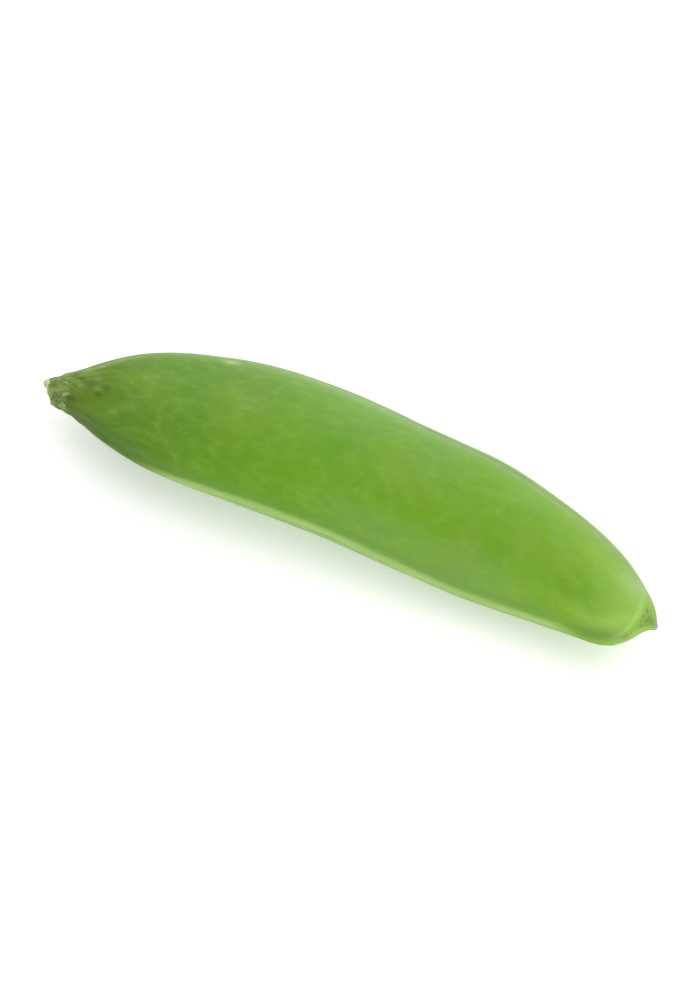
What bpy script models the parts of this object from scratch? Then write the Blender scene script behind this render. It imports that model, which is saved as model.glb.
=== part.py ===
"""Sugar snap pea pod, one whole closed pod lying on its broad side.

Frame: metres, +Z up, the pod resting on the plane Z = 0.
X runs along the pod, from the stem end (-X) to the blossom end (+X).
The nearly straight seam faces -Y and the arched seam faces +Y.
The origin is under the middle of the pod's box.

The pod is a loft. Two seam lines in plan and a half thickness give one
section at each station, and every section is a rounded lens between the
two seams. A uv-sphere is the starting primitive: its poles become the two
tips, its rings the sections, and its meridians the lines along the pod.
"""

import math

import bpy
import bmesh
import numpy as np
from mathutils import Vector

# ----------------------------------------------------------------------------
# driving dimensions, millimetres
# ----------------------------------------------------------------------------

MM = 0.001

POD_NAME = "pod"
COLLECTION = "sugar_snap_pea_pod"

# Stations from the stem face to the style remnant.
# x, y and z of the straight (near) seam, x, y and z of the arched (far) seam,
# half the thickness between the two broad sides, and how far the cords of the
# near and of the far seam lie above the middle of their edge. The z values
# and the last two give the pod its slight natural twist.
STATIONS = (
    # face of the stalk, cut off aslant, and the neck
    (2.20, -2.20, 0.00, 0.15, 0.27, 0.00, 1.10, 0.00, 0.00),
    (3.00, -2.38, 0.05, 1.00, 0.98, 0.00, 1.50, -0.10, 0.00),
    # shoulder of the neck
    (4.70, -2.48, 0.15, 2.80, 2.60, -0.05, 2.10, -0.30, -0.10),
    (7.50, -3.30, 0.40, 6.10, 5.98, -0.18, 3.05, -0.55, -0.15),
    (12.20, -4.75, 0.75, 11.20, 9.60, -0.38, 4.15, -0.80, -0.05),
    (18.50, -5.61, 1.00, 18.00, 12.12, -0.50, 5.10, -0.75, 0.30),
    (27.00, -5.48, 0.92, 27.00, 13.64, -0.42, 5.86, -0.15, 0.85),
    # widest part
    (37.00, -4.90, 0.56, 37.00, 13.54, -0.08, 6.10, 0.05, 1.40),
    # thickest part
    (47.00, -4.90, -0.20, 46.50, 12.62, 0.45, 6.00, -0.05, 1.70),
    (57.00, -4.78, -0.86, 55.50, 11.86, 0.86, 5.68, -0.25, 1.70),
    (66.00, -4.34, -0.82, 63.50, 10.03, 0.92, 5.15, -0.25, 1.55),
    (72.50, -4.23, -0.35, 70.00, 7.90, 0.73, 4.35, 0.00, 1.30),
    # shoulder of the end, and the style remnant
    (75.80, -4.00, 0.00, 74.30, 5.87, 0.45, 3.25, 0.30, 0.85),
    (77.70, -2.29, 0.12, 77.25, 3.77, 0.25, 2.10, 0.30, 0.45),
    (79.20, -0.24, 0.10, 79.25, 1.78, 0.10, 1.10, 0.10, 0.15),
    (79.95, -0.02, 0.05, 79.95, 0.74, 0.05, 0.50, 0.00, 0.00),
)

SECTION_POWER = 2.05        # 2 is an ellipse, more is boxier
TIP_DISH = 0.25             # how far the stem face is hollowed
TIP_DISH_TURN = 41.0        # degrees from +X towards +Y, across the stem face
TIP_BEYOND = 0.20           # how far the style remnant is domed

SEAM_RIDGE = 0.28           # height of the raised cord on each seam
SEAM_RIDGE_WIDTH = 0.80
SEAM_GROOVE = 0.14          # shallow furrow on both sides of the cord
SEAM_GROOVE_AT = 1.30
SEAM_GROOVE_WIDTH = 0.40
SEAM_FADE = (0.05, 0.95)    # the cord fades out past these parts of the length

PEA_COUNT = 7               # seeds that show as faint swellings
PEA_FIRST = 15.0
PEA_LAST = 68.0
PEA_SWELL = 0.15
PEA_RADIUS = 3.2

REST_DEPTH = 0.35           # how much the soft wall flattens where it lies

RINGS = 62
SEGMENTS = 36
SEAM_CROWDING = 0.35        # draws the meridians towards the two seams
END_CROWDING = 0.50         # draws the sections towards the two tips

SKIN_COLOUR = (0.19, 0.36, 0.045, 1.0)
SKIN_ROUGHNESS = 0.45

# ----------------------------------------------------------------------------
# curves and sections
# ----------------------------------------------------------------------------


def natural_cubic(knots, values):
    """A curve through the values with no bending at its two ends."""
    count = len(knots)
    gap = np.diff(knots)
    matrix = np.zeros((count, count))
    right = np.zeros(count)
    matrix[0, 0] = matrix[-1, -1] = 1.0
    for i in range(1, count - 1):
        matrix[i, i - 1] = gap[i - 1]
        matrix[i, i] = 2.0 * (gap[i - 1] + gap[i])
        matrix[i, i + 1] = gap[i]
        right[i] = 6.0 * ((values[i + 1] - values[i]) / gap[i]
                          - (values[i] - values[i - 1]) / gap[i - 1])
    bend = np.linalg.solve(matrix, right)

    def curve(t):
        i = min(max(int(np.searchsorted(knots, t)) - 1, 0), count - 2)
        a = (knots[i + 1] - t) / gap[i]
        b = (t - knots[i]) / gap[i]
        return (a * values[i] + b * values[i + 1]
                + ((a ** 3 - a) * bend[i] + (b ** 3 - b) * bend[i + 1])
                * gap[i] ** 2 / 6.0)

    return curve


def station_curves():
    """One curve for each column of STATIONS, over 0 to 1 along the pod."""
    table = np.array(STATIONS)
    near_step = np.hypot(np.diff(table[:, 0]), np.diff(table[:, 1]))
    far_step = np.hypot(np.diff(table[:, 3]), np.diff(table[:, 4]))
    knots = np.concatenate(([0.0], np.cumsum(0.5 * (near_step + far_step))))
    knots /= knots[-1]
    return [natural_cubic(knots, table[:, k]) for k in range(9)]


def signed_power(value, power):
    return math.copysign(abs(value) ** power, value)


def smooth_step(low, high, value):
    x = min(max((value - low) / (high - low), 0.0), 1.0)
    return x * x * (3.0 - 2.0 * x)


def seam_relief(distance):
    """Raised cord with a furrow beside it, by the distance from the seam."""
    cord = SEAM_RIDGE * math.exp(-(distance / SEAM_RIDGE_WIDTH) ** 2)
    furrow = SEAM_GROOVE * math.exp(
        -((distance - SEAM_GROOVE_AT) / SEAM_GROOVE_WIDTH) ** 2)
    return cord - furrow


def pea_swelling(x, across):
    """Faint swellings over the row of seeds on both broad sides."""
    step = (PEA_LAST - PEA_FIRST) / (PEA_COUNT - 1)
    total = 0.0
    for k in range(PEA_COUNT):
        dx = x - (PEA_FIRST + k * step)
        total += math.exp(-(dx * dx + across * across) / PEA_RADIUS ** 2)
    return PEA_SWELL * total


def pod_point(curves, t, angle):
    """A point of the skin: t along the pod, angle round the section.

    The angle is 0 on the straight seam and pi on the arched one.
    """
    near = Vector((curves[0](t), curves[1](t), curves[2](t)))
    far = Vector((curves[3](t), curves[4](t), curves[5](t)))
    half = curves[6](t)
    middle = (near + far) * 0.5
    arm = (near - far) * 0.5

    crowded = angle - SEAM_CROWDING * math.sin(2.0 * angle)
    power = 2.0 / SECTION_POWER
    along_arm = signed_power(math.cos(crowded), power)
    up = half * signed_power(math.sin(crowded), power)
    point = middle + arm * along_arm + Vector((0.0, 0.0, up))

    fade = (smooth_step(0.0, SEAM_FADE[0], t)
            * (1.0 - smooth_step(SEAM_FADE[1], 1.0, t)))
    outward = arm.normalized() * math.copysign(1.0, along_arm)
    cord_at = curves[7](t) if along_arm > 0.0 else curves[8](t)
    point += outward * seam_relief(abs(up - cord_at)) * fade

    across = arm.length * along_arm
    side = math.sin(crowded)
    point.z += math.copysign(pea_swelling(point.x, across), side) * abs(side)
    return point


# ----------------------------------------------------------------------------
# building
# ----------------------------------------------------------------------------


def clear_scene():
    for old in list(bpy.data.objects):
        bpy.data.objects.remove(old, do_unlink=True)


def new_collection(name):
    made = bpy.data.collections.new(name)
    bpy.context.scene.collection.children.link(made)
    return made


def skin_material():
    made = bpy.data.materials.new("pod_skin")
    made.use_nodes = True
    shader = made.node_tree.nodes["Principled BSDF"]
    shader.inputs["Base Color"].default_value = SKIN_COLOUR
    shader.inputs["Roughness"].default_value = SKIN_ROUGHNESS
    shader.inputs["Metallic"].default_value = 0.0
    made.diffuse_color = SKIN_COLOUR
    return made


def seam_middle(curves, t):
    near = Vector((curves[0](t), curves[1](t), curves[2](t)))
    far = Vector((curves[3](t), curves[4](t), curves[5](t)))
    return (near + far) * 0.5


def pod_mesh():
    """The uv-sphere drawn out into the pod, still in millimetres."""
    curves = station_curves()
    turn = math.radians(TIP_DISH_TURN)
    tip_stem = (seam_middle(curves, 0.0)
                + TIP_DISH * Vector((math.cos(turn), math.sin(turn), 0.0)))
    tip_blossom = seam_middle(curves, 1.0) + Vector((TIP_BEYOND, 0.0, 0.0))

    work = bmesh.new()
    bmesh.ops.create_uvsphere(work, u_segments=SEGMENTS, v_segments=RINGS,
                              radius=1.0)
    for vertex in work.verts:
        x, y, z = vertex.co
        ring = math.acos(min(max(z, -1.0), 1.0)) / math.pi * RINGS
        if ring < 0.5:
            vertex.co = tip_stem
        elif ring > RINGS - 0.5:
            vertex.co = tip_blossom
        else:
            even = (ring - 1.0) / (RINGS - 2.0)
            t = even - (END_CROWDING * math.sin(2.0 * math.pi * even)
                        / (2.0 * math.pi))
            vertex.co = pod_point(curves, t, math.atan2(y, x))
    bmesh.ops.recalc_face_normals(work, faces=work.faces)
    mesh = bpy.data.meshes.new(POD_NAME)
    work.to_mesh(mesh)
    work.free()
    return mesh


def box_of(mesh):
    low = Vector(min(v.co[k] for v in mesh.vertices) for k in range(3))
    high = Vector(max(v.co[k] for v in mesh.vertices) for k in range(3))
    return low, high


def build():
    clear_scene()
    shapes = new_collection(COLLECTION)
    cutters = new_collection("cutters")

    mesh = pod_mesh()
    low, high = box_of(mesh)
    # origin under the middle of the box, with the flat of the belly on Z = 0
    shift = Vector((-(low.x + high.x) * 0.5, -(low.y + high.y) * 0.5,
                    -low.z - REST_DEPTH))
    for vertex in mesh.vertices:
        vertex.co = (vertex.co + shift) * MM
    mesh.materials.append(skin_material())
    mesh.shade_smooth()

    pod = bpy.data.objects.new(POD_NAME, mesh)
    shapes.objects.link(pod)

    # the soft wall is flat where the pod lies on it
    bpy.ops.mesh.primitive_cube_add(size=1.0, location=(0.0, 0.0, -2.0 * MM))
    cutter = bpy.context.object
    cutter.name = "rest_cutter"
    cutter.scale = (90.0 * MM, 30.0 * MM, 4.0 * MM)
    for owner in list(cutter.users_collection):
        owner.objects.unlink(cutter)
    cutters.objects.link(cutter)
    cutter.hide_render = True
    cutter.display_type = "WIRE"

    cut = pod.modifiers.new("resting_flat", "BOOLEAN")
    cut.operation = "DIFFERENCE"
    cut.solver = "EXACT"
    cut.object = cutter
    return pod


build()
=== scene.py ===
"""Looks of one whole sugar snap pea pod, lying on its broad side.

The pod is lofted again here over the same seam lines as the solid it stands
for, at a much finer pitch, and gets what the solid leaves out: the double
cord of the straight seam with its furrows, the seeds showing through the
wall, the puckers at the blossom end, the folds and torn remains at the stem
end, and the fine unevenness of the skin.
"""
import math

import bpy
import numpy as np
from mathutils import Matrix, Vector


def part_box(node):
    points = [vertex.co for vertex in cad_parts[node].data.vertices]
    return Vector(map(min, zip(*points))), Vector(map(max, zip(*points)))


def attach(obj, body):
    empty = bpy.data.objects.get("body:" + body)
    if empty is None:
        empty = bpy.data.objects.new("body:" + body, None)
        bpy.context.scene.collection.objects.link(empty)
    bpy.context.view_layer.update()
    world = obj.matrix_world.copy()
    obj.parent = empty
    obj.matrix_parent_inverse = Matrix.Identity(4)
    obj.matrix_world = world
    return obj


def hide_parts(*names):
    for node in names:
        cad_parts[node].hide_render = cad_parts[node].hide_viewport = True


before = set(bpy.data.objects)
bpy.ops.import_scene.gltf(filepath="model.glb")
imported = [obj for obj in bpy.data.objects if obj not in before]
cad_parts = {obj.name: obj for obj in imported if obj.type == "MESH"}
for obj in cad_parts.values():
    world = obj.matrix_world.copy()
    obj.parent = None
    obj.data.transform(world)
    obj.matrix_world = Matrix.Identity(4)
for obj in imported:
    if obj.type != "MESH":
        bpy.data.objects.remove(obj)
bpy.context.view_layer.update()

MM = 0.001

# ---------------------------------------------------------------------------
# the pod's construction lines, in millimetres, as in the solid
# ---------------------------------------------------------------------------

STATIONS = np.array((
    # face of the stalk, cut off aslant, and the neck
    (2.20, -2.20, 0.00, 0.15, 0.27, 0.00, 1.10, 0.00, 0.00),
    (3.00, -2.38, 0.05, 1.00, 0.98, 0.00, 1.50, -0.10, 0.00),
    # shoulder of the neck
    (4.70, -2.48, 0.15, 2.80, 2.60, -0.05, 2.10, -0.30, -0.10),
    (7.50, -3.30, 0.40, 6.10, 5.98, -0.18, 3.05, -0.55, -0.15),
    (12.20, -4.75, 0.75, 11.20, 9.60, -0.38, 4.15, -0.80, -0.05),
    (18.50, -5.61, 1.00, 18.00, 12.12, -0.50, 5.10, -0.75, 0.30),
    (27.00, -5.48, 0.92, 27.00, 13.64, -0.42, 5.86, -0.15, 0.85),
    # widest part
    (37.00, -4.90, 0.56, 37.00, 13.54, -0.08, 6.10, 0.05, 1.40),
    # thickest part
    (47.00, -4.90, -0.20, 46.50, 12.62, 0.45, 6.00, -0.05, 1.70),
    (57.00, -4.78, -0.86, 55.50, 11.86, 0.86, 5.68, -0.25, 1.70),
    (66.00, -4.34, -0.82, 63.50, 10.03, 0.92, 5.15, -0.25, 1.55),
    (72.50, -4.23, -0.35, 70.00, 7.90, 0.73, 4.35, 0.00, 1.30),
    # shoulder of the end, and the style remnant
    (75.80, -4.00, 0.00, 74.30, 5.87, 0.45, 3.25, 0.30, 0.85),
    (77.70, -2.29, 0.12, 77.25, 3.77, 0.25, 2.10, 0.30, 0.45),
    (79.20, -0.24, 0.10, 79.25, 1.78, 0.10, 1.10, 0.10, 0.15),
    (79.95, -0.02, 0.05, 79.95, 0.74, 0.05, 0.50, 0.00, 0.00),
))
SECTION_POWER = 2.05
REST_DEPTH = 0.35

# the stalk face is aslant; this is the way into the pod, square to it
STALK_INWARD = np.array((math.cos(math.radians(41.0)),
                         math.sin(math.radians(41.0)), 0.0))

# seeds: place along the pod, how far they push the wall out, their radius
PEAS = (
    (13.2, 0.10, 2.7), (21.5, 0.17, 3.1), (30.4, 0.20, 3.3),
    (39.2, 0.17, 3.4), (48.4, 0.21, 3.4), (57.6, 0.18, 3.2),
    (66.0, 0.13, 2.9),
)
PEA_OFFSET = 0.7            # the seeds hang from the straight seam

# low rim round the blossom end: angle from the straight seam in degrees, x
END_RIM = np.array(((0.0, 70.5), (5.0, 72.8), (12.0, 74.7), (25.0, 76.45),
                    (41.0, 77.25), (67.0, 77.65), (100.0, 77.65),
                    (130.0, 77.40), (180.0, 77.20)))


# small marks on the skin: x, y, z, half length along x, half width, and how
# deep a dent (+) or how high a welt (-) it makes; dents are darker and welts
# paler, partly own spots and partly painted shade and painted highlight
MARKS = (
    (3.55, -1.60, 1.50, 0.75, 0.36, 0.16), (4.60, 1.25, 2.42, 0.50, 0.30, 0.10),
    (7.60, -0.35, 3.24, 0.60, 0.30, 0.09), (8.40, 0.60, 3.57, 0.55, 0.28, 0.08),
    (2.35, 0.25, 1.45, 0.45, 0.28, 0.10), (5.90, -1.75, 2.35, 0.60, 0.26, 0.07),
    (4.95, 0.20, 2.51, 0.75, 0.26, -0.08), (4.45, 3.05, 1.70, 0.60, 0.30, -0.05),
    (7.25, 0.28, 3.25, 0.70, 0.22, -0.07), (3.75, -2.40, 0.57, 0.70, 0.28, -0.08),
    (6.10, 3.75, 2.42, 0.75, 0.30, -0.06), (6.50, 1.60, 3.10, 0.80, 0.24, -0.06),
    # painted highlight: this pale welt is the glint high on the arched side
    (19.8, 10.6, 3.00, 0.62, 0.32, -0.05),
)

# soft patches of another tone: x, y, z and radius
OLIVE = ((12.2, 2.4, 4.4, 3.2), (24.6, 5.3, 5.8, 3.6), (45.6, 3.4, 6.1, 3.0),
         (62.8, 1.7, 5.1, 2.4), (56.5, -1.6, 4.4, 2.2), (67.6, 1.2, 4.7, 1.8),
         (20.0, 2.0, -5.0, 3.4), (41.0, 6.0, -5.6, 3.2), (60.0, 3.0, -5.0, 2.8),
         (31.0, 13.0, -1.5, 3.0), (52.0, 12.0, -1.0, 2.6), (36.0, -3.5, -2.5, 2.8))
COOL = ((17.8, 3.7, 5.3, 3.6), (48.5, 6.6, 5.8, 2.8), (38.0, 7.5, 5.8, 2.6),
        (28.0, 7.0, -5.2, 3.6), (50.0, 1.0, -5.4, 3.2), (44.0, 12.5, -1.8, 3.0))
VIVID = ((33.4, 2.5, 6.3, 4.2), (72.6, -0.4, 4.0, 2.4), (58.5, 2.5, 5.5, 3.2),
         (34.0, 1.0, -5.8, 4.0), (68.0, 2.0, -4.2, 3.0), (62.0, 9.5, -0.5, 2.8))
LIME = ((70.0, 3.6, 4.3, 2.4), (66.0, 6.0, 3.8, 2.2), (60.5, 8.6, 3.4, 2.0),
        (71.0, 1.0, -4.0, 2.4), (55.0, 9.0, -3.4, 2.4))

NECK_LIME = ((7.6, -1.8, 2.7, 1.5), (9.9, -2.2, 3.2, 1.5), (5.8, -1.9, 1.9, 0.9),
             (8.0, 3.0, -2.6, 1.6), (6.0, -1.0, -2.2, 1.2))

# painted highlight: a pale line along the arched side of the neck
NECK_HIGHLIGHT = ((4.2, 1.8, 2.1), (5.0, 2.8, 2.2), (6.0, 3.9, 2.3), (7.1, 4.8, 2.4),
             (8.1, 5.8, 2.4), (9.6, 6.8, 2.5), (11.3, 7.6, 2.7))

# the crest that turns in from the straight seam and becomes the rim
CREST = ((66.6, -2.5, 2.9), (69.4, -2.8, 2.65), (71.4, -3.0, 2.45),
         (73.0, -3.2, 2.25), (74.4, -3.0, 2.4), (75.6, -2.3, 2.5),
         (76.7, -1.5, 2.35), (77.5, -0.7, 2.05), (77.8, -0.2, 2.0),
         (77.75, 0.6, 2.15))


def natural_cubic(knots, values):
    """A curve through the values with no bending at its two ends."""
    count = len(knots)
    gap = np.diff(knots)
    matrix = np.zeros((count, count))
    right = np.zeros(count)
    matrix[0, 0] = matrix[-1, -1] = 1.0
    for i in range(1, count - 1):
        matrix[i, i - 1] = gap[i - 1]
        matrix[i, i] = 2.0 * (gap[i - 1] + gap[i])
        matrix[i, i + 1] = gap[i]
        right[i] = 6.0 * ((values[i + 1] - values[i]) / gap[i]
                          - (values[i] - values[i - 1]) / gap[i - 1])
    bend = np.linalg.solve(matrix, right)

    def curve(t):
        t = np.asarray(t, float)
        i = np.clip(np.searchsorted(knots, t) - 1, 0, count - 2)
        a = (knots[i + 1] - t) / gap[i]
        b = (t - knots[i]) / gap[i]
        return (a * values[i] + b * values[i + 1]
                + ((a ** 3 - a) * bend[i] + (b ** 3 - b) * bend[i + 1])
                * gap[i] ** 2 / 6.0)

    return curve


def station_curves():
    near_step = np.hypot(np.diff(STATIONS[:, 0]), np.diff(STATIONS[:, 1]))
    far_step = np.hypot(np.diff(STATIONS[:, 3]), np.diff(STATIONS[:, 4]))
    knots = np.concatenate(([0.0], np.cumsum(0.5 * (near_step + far_step))))
    knots /= knots[-1]
    return [natural_cubic(knots, STATIONS[:, k]) for k in range(9)]


CURVES = station_curves()


def smooth(low, high, value):
    """0 at low and 1 at high, either of which may be the larger."""
    x = np.clip((value - low) / (high - low), 0.0, 1.0)
    return x * x * (3.0 - 2.0 * x)


def bell(value, width):
    return np.exp(-(value / width) ** 2)


# ---------------------------------------------------------------------------
# smooth three-dimensional noise, the same on every run
# ---------------------------------------------------------------------------

def make_noise(seed):
    rng = np.random.RandomState(seed)
    order = rng.permutation(256)
    slopes = rng.normal(size=(256, 3))
    slopes /= np.linalg.norm(slopes, axis=1, keepdims=True)

    def noise(p):
        cell = np.floor(p).astype(int)
        f = p - cell
        u = f * f * f * (f * (f * 6.0 - 15.0) + 10.0)
        total = 0.0
        for dx in (0, 1):
            wx = u[..., 0] if dx else 1.0 - u[..., 0]
            ix = order[(cell[..., 0] + dx) & 255]
            for dy in (0, 1):
                wy = u[..., 1] if dy else 1.0 - u[..., 1]
                iy = order[(ix + cell[..., 1] + dy) & 255]
                for dz in (0, 1):
                    wz = u[..., 2] if dz else 1.0 - u[..., 2]
                    iz = order[(iy + cell[..., 2] + dz) & 255]
                    g = slopes[iz]
                    d = ((f[..., 0] - dx) * g[..., 0]
                         + (f[..., 1] - dy) * g[..., 1]
                         + (f[..., 2] - dz) * g[..., 2])
                    total = total + wx * wy * wz * d
        return total * 1.6

    return noise


NOISE_A = make_noise(11)
NOISE_B = make_noise(23)
NOISE_C = make_noise(37)
NOISE_D = make_noise(53)


def stack(*parts):
    return np.stack(np.broadcast_arrays(*parts), axis=-1)


# ---------------------------------------------------------------------------
# the skin as a function: t runs along the pod, a runs round the section
# ---------------------------------------------------------------------------

def frame_at(t):
    near = stack(CURVES[0](t), CURVES[1](t), CURVES[2](t))
    far = stack(CURVES[3](t), CURVES[4](t), CURVES[5](t))
    return near, far, CURVES[6](t)


def signed_power(value, power):
    return np.sign(value) * np.abs(value) ** power


def plain_skin(t, a):
    """The smooth wall with its seams and seeds. Returns points and facts."""
    t = np.asarray(t, float)
    a = np.asarray(a, float)
    near, far, half = frame_at(t)
    middle = (near + far) * 0.5
    arm = (near - far) * 0.5
    reach = np.linalg.norm(arm, axis=-1)
    power = 2.0 / SECTION_POWER
    c, s = np.cos(a), np.sin(a)
    along = signed_power(c, power)
    up = half * signed_power(s, power)
    point = middle + arm * along[..., None]
    point[..., 2] += up

    x = middle[..., 0]
    cord_at = np.where(c > 0.0, CURVES[7](t), CURVES[8](t))
    off = up - cord_at
    d = np.abs(off)
    grow = np.clip(half / 3.6, 0.30, 1.0)        # seams get finer at the ends
    ends = smooth(0.0, 0.05, t) * (1.0 - 0.75 * smooth(0.975, 1.0, t))

    # straight seam: a broad cord parted by a fine line, a furrow on each side
    beat = NOISE_A(stack(x / 5.0, 0.3, np.sign(up) * 2.0 + 7.0))
    sway = NOISE_A(stack(x / 9.0, 4.2, 1.0))
    wide = grow * (1.0 + 0.10 * beat)
    d_near = np.abs(off + 0.12 * sway * grow)
    near_cord = (0.30 + 0.05 * beat) * bell(d_near, 0.80 * wide) * grow
    near_line = 0.12 * bell(d_near, 0.15) * grow
    near_furrow = (0.15 + 0.05 * beat) * bell(d - 1.45 * wide, 0.46 * wide) * grow
    near_furrow = near_furrow * (1.0 - 0.65 * smooth(71.0, 76.5, x))
    # arched seam: one narrow cord
    beat_far = NOISE_B(stack(x / 6.0, 1.3, 0.7))
    far_cord = (0.25 + 0.04 * beat_far) * bell(d, 0.60 * grow) * grow
    far_furrow = 0.11 * bell(d - 1.15 * grow, 0.42 * grow) * grow
    far_furrow = far_furrow + 0.10 * bell(off - 2.0 * grow, 1.1 * grow) * grow
    relief = np.where(c > 0.0, near_cord - near_line - near_furrow,
                      far_cord - far_furrow) * ends
    outward = arm / reach[..., None] * np.sign(along)[..., None]
    point = point + outward * relief[..., None]

    # seeds
    across = reach * along - PEA_OFFSET
    swell = 0.0
    for place, push, radius in PEAS:
        dx = point[..., 0] - place
        dy = across
        swell = swell + push * np.exp(-((dx / radius) ** 2
                                        + (dy / (radius * 1.25)) ** 2))
    point[..., 2] += np.sign(s) * swell * np.abs(s)

    facts = {"x": x, "up": up, "d": d, "off": off, "along": along, "grow": grow,
             "near": c > 0.0, "reach": reach, "half": half, "beat": beat,
             "ends": ends}
    return point, facts


def nearness(points, path):
    """How far each point is from a path of straight pieces, in mm."""
    best = np.full(points.shape[:-1], 1e9)
    path = np.asarray(path, float)
    for start, end in zip(path[:-1], path[1:]):
        way = end - start
        share = ((points - start) @ way) / (way @ way)
        share = np.clip(share, 0.0, 1.0)[..., None]
        best = np.minimum(best, np.linalg.norm(points - start - share * way,
                                               axis=-1))
    return best


def clouds(points, places):
    total = 0.0
    for x, y, z, radius in places:
        total = total + bell(np.linalg.norm(points - (x, y, z), axis=-1), radius)
    return np.clip(total, 0.0, 1.0)


def all_marks():
    """The marks above, and more of the same kind on the other sides."""
    rng = np.random.RandomState(77)
    marks = list(MARKS)
    for k in range(46):
        t = 0.025 + 0.115 * rng.uniform() ** 1.4
        a = rng.uniform(-math.pi, math.pi)
        if k % 3 and 0.2 < a < 2.9:
            a = -a
        spot = plain_skin(np.array([t]), np.array([a]))[0][0]
        size = rng.uniform(0.6, 1.15)
        depth = rng.choice((-0.045, -0.06, 0.05, 0.08)) * size
        marks.append((spot[0], spot[1], spot[2], 0.62 * size, 0.26 * size, depth))
    return marks


ALL_MARKS = all_marks()


def skin(t, a):
    """The finished wall: plain_skin moved along its normal by the detail."""
    t, a = np.broadcast_arrays(np.asarray(t, float), np.asarray(a, float))
    step_t, step_a = 4e-4, 2e-3
    t_low, t_high = np.clip(t - step_t, 0, 1), np.clip(t + step_t, 0, 1)
    along = plain_skin(t_high, a)[0] - plain_skin(t_low, a)[0]
    round_ = plain_skin(t, a + step_a)[0] - plain_skin(t, a - step_a)[0]
    normal = np.cross(round_, along)
    normal /= np.maximum(np.linalg.norm(normal, axis=-1, keepdims=True), 1e-12)
    point, facts = plain_skin(t, a)
    x, d = facts["x"], facts["d"]

    # broad unevenness of a soft wall
    move = 0.07 * NOISE_A(point / 13.0)
    move += 0.040 * NOISE_B(point / 5.5)
    move += 0.012 * NOISE_C(point / 1.9)
    # long faint strands from end to end
    strands = NOISE_D(stack(x / 16.0, a * facts["reach"] / 1.3, 3.0))
    move += 0.008 * strands
    # slanting net of veins, very low
    slant = stack(x / 5.0 + facts["along"] * 1.6,
                  facts["along"] * facts["reach"] / 2.1 - x / 7.5,
                  np.sign(facts["up"]) * 4.0)
    net = 1.0 - np.abs(NOISE_C(slant)) * 3.2
    net = np.clip(net, 0.0, 1.0) ** 3
    move += 0.012 * net * smooth(1.0, 3.0, d)
    quiet = smooth(0.0, 0.03, t) * (1.0 - smooth(0.97, 1.0, t))
    move = move * (0.25 + 0.75 * quiet)

    # puckers that run into the blossom tip
    toward_tip = smooth(73.5, 78.6, x) * (1.0 - smooth(79.2, 79.9, x))
    puckers = np.cos(7.0 * a + 0.8 * np.sin(2.0 * a + 0.6))
    puckers += 0.6 * np.cos(11.0 * a + 1.9)
    move += 0.035 * toward_tip * puckers

    # dents and welts, more of them round the neck where it has shrunk;
    # their dark and pale tones are partly own spots, partly painted shade and
    # painted highlight
    dark, pale = 0.0, 0.0
    for place_x, place_y, place_z, long, wide, depth in ALL_MARKS:
        reach_x = (point[..., 0] - place_x) / long
        reach_r = ((point[..., 1] - place_y) ** 2
                   + (point[..., 2] - place_z) ** 2) / wide ** 2
        shape = np.exp(-reach_x ** 2 - reach_r)
        move -= depth * shape
        if depth > 0.0:
            dark = dark + shape * min(depth / 0.09, 1.0)
        else:
            pale = pale + shape * min(-depth / 0.06, 1.0)
    facts["dark"] = np.clip(dark + 0.0 * x, 0.0, 1.0)
    facts["pale"] = np.clip(pale + 0.0 * x, 0.0, 1.0)

    # the rim that the straight cord turns into, and the small face past it
    turn = np.abs(np.mod(a + math.pi, 2.0 * math.pi) - math.pi)
    rim_line = natural_cubic(np.radians(END_RIM[:, 0]), END_RIM[:, 1])
    slope = (rim_line(turn + 1e-3) - rim_line(turn - 1e-3)) / 2e-3
    girth = np.hypot(facts["reach"] * np.sin(a), facts["half"] * np.cos(a))
    past_rim = (x - rim_line(turn)) / np.hypot(1.0, slope / (girth + 0.2))
    at_end = smooth(70.0, 74.5, x) * (1.0 - 0.85 * smooth(1.65, 2.30, turn))
    at_end = at_end * (0.15 + 0.85 * smooth(0.25, 0.55, turn))
    crest = bell(nearness(point, CREST), 0.85)
    facts["crest"] = crest * smooth(66.0, 71.5, x)
    move += 0.045 * facts["crest"]
    wobble = 1.0 + 0.5 * NOISE_B(stack(turn * 2.1, np.sign(facts["up"]), 2.0))
    move += at_end * wobble * (0.060 * bell(past_rim, 0.28)
                               - 0.045 * bell(past_rim - 0.62, 0.36))

    # folds of the neck, with the scar ring where the flower's cup sat
    toward_stem = 1.0 - smooth(2.5, 10.5, x)
    folds = np.cos(6.0 * a + 1.1 * np.sin(a + 0.4) + 0.05 * x)
    folds += 0.5 * np.cos(13.0 * a + 0.7 + 0.12 * x)
    rough = NOISE_B(stack(x / 2.4, np.cos(a) * 2.1, np.sin(a) * 2.1))
    drift = 0.35 * NOISE_A(stack(x / 3.0, a, 1.5))
    ca, sa = np.cos(a + drift * 0.5), np.sin(a + drift * 0.5)
    wrinkle = NOISE_D(stack(x / 4.2, ca * 3.6, sa * 3.6))
    wrinkle = wrinkle + 0.55 * NOISE_C(stack(x / 2.6, ca * 7.5, sa * 7.5))
    reach_of_it = 9.5 + 3.5 * NOISE_B(stack(ca * 2.0, sa * 2.0, 6.0))
    shrunk = 1.0 - smooth(0.25 * reach_of_it, reach_of_it, x)
    move += toward_stem * (0.050 * folds + 0.055 * rough)
    move += shrunk * 0.075 * wrinkle
    ring_at = 2.55 + 0.40 * NOISE_A(stack(np.cos(a) * 1.7, np.sin(a) * 1.7, 5.0))
    move += 0.08 * bell(x - ring_at, 0.30) - 0.05 * bell(x - ring_at - 0.65, 0.30)

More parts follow.
